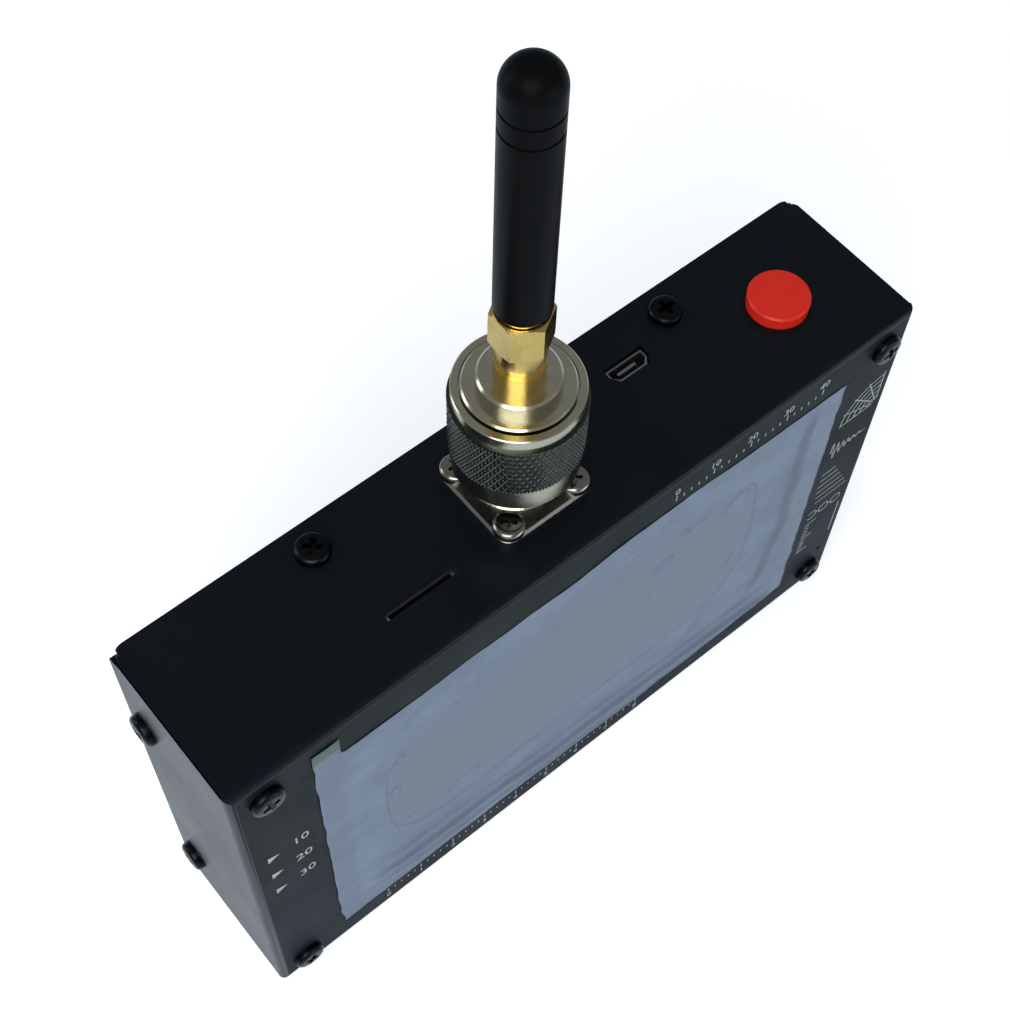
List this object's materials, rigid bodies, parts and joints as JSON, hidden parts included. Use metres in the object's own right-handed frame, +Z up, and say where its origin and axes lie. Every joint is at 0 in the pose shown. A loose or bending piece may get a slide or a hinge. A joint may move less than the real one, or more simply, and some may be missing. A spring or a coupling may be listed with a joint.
{
  "type": "antenna analyzer",
  "caption": "Handheld antenna analyzer: folded black sheet case with touch screen, push button and slots, and a stub antenna on a screw-on coaxial adapter.",
  "frame": {"origin": "centre of the base that the case stands on, midway between the panel's and the cover's outer faces", "axes": "+X to the right seen from the front, +Y from the screen to the back, +Z up along the connector"},
  "size_m": [0.1392, 0.0316, 0.1773],
  "materials": {
    "black_sheet": "black anodised, brushed",
    "black_screw": "black oxide",
    "zinc": "plated",
    "standoff": "nickel-plated brass",
    "film": "clear film",
    "screen_glass": "dark touch glass",
    "foam": "matt foam",
    "display": "sheet frame",
    "board": "solder resist",
    "black_plastic": "moulded",
    "red_plastic": "moulded",
    "switch_plastic": "moulded",
    "cell": "foil pouch",
    "dark_nickel": "nickel plate",
    "white_plastic": "fluoropolymer",
    "gold": "gold plate",
    "bright_nickel": "polished nickel plate",
    "sheath_rubber": "matt moulded rubber",
    "coil_steel": "copper-plated spring wire"
  },
  "bodies": {
    "case": {"front_shell": "black_sheet", "back_cover": "black_sheet", "front_screws": "black_screw", "top_screws": "black_screw", "side_screws": "black_screw", "top_inserts": "zinc", "side_inserts": "zinc", "front_spacers": "standoff", "board_standoffs": "standoff", "board_screws": "zinc", "screen_film": "film", "touch_glass": "screen_glass", "screen_gasket": "foam", "display_module": "display", "display_foam": "foam", "display_board": "board", "main_board": "board", "board_header": "black_plastic", "screening_can": "zinc", "card_socket": "zinc", "usb_socket": "zinc", "switch_housing": "black_plastic", "reset_switch": "black_plastic", "battery": "cell", "battery_tape": "foam", "jack_body": "dark_nickel", "jack_insulator": "white_plastic", "jack_contact": "gold", "jack_screws": "dark_nickel", "jack_nuts": "zinc"},
    "power_button": {"power_button": "red_plastic", "switch_post": "switch_plastic"},
    "reset_plunger": {"reset_plunger": "switch_plastic"},
    "adapter": {"adapter_body": "bright_nickel", "adapter_insulator": "white_plastic", "adapter_pin": "gold", "nut_gasket": "foam", "snap_ring": "zinc", "small_jack": "gold", "small_insulator": "white_plastic"},
    "coupling_nut": {"coupling_nut": "bright_nickel"},
    "antenna": {"antenna_ferrule": "gold", "antenna_insulator": "white_plastic", "antenna_pin": "gold", "antenna_sheath": "sheath_rubber", "antenna_coil": "coil_steel"},
    "antenna_nut": {"antenna_nut": "gold"}
  },
  "joints": [
    {"name": "power_press", "type": "slide", "parent": "case", "child": "power_button", "axis": [0, 0, -1], "range_m": [0, 0.0018], "stiffness_N_per_m": 900, "springref_m": -0.001},
    {"name": "reset_press", "type": "slide", "parent": "case", "child": "reset_plunger", "axis": [0, 1, 0], "range_m": [0, 0.00025], "stiffness_N_per_m": 4000, "springref_m": -0.0002},
    {"name": "adapter_lift", "type": "slide", "parent": "case", "child": "adapter", "axis": [0, 0, 1], "range_m": [0, 0.00497]},
    {"name": "coupling_nut_turn", "type": "hinge", "parent": "adapter", "child": "coupling_nut", "pos_m": [-0.0043, 0.0004, 0.0885], "axis": [0, 0, 1], "range_deg": [0, 1690]},
    {"name": "antenna_lift", "type": "slide", "parent": "adapter", "child": "antenna", "axis": [0, 0, 1], "range_m": [0, 0.00476]},
    {"name": "antenna_nut_turn", "type": "hinge", "parent": "antenna", "child": "antenna_nut", "pos_m": [-0.0043, 0.0004, 0.0885], "axis": [0, 0, 1], "range_deg": [0, 2430]}
  ],
  "couplings": [
    {"joint": "coupling_nut_turn", "follows": "adapter_lift", "rad_per_m": 5936.9},
    {"joint": "antenna_nut_turn", "follows": "antenna_lift", "rad_per_m": 8905.3}
  ]
}
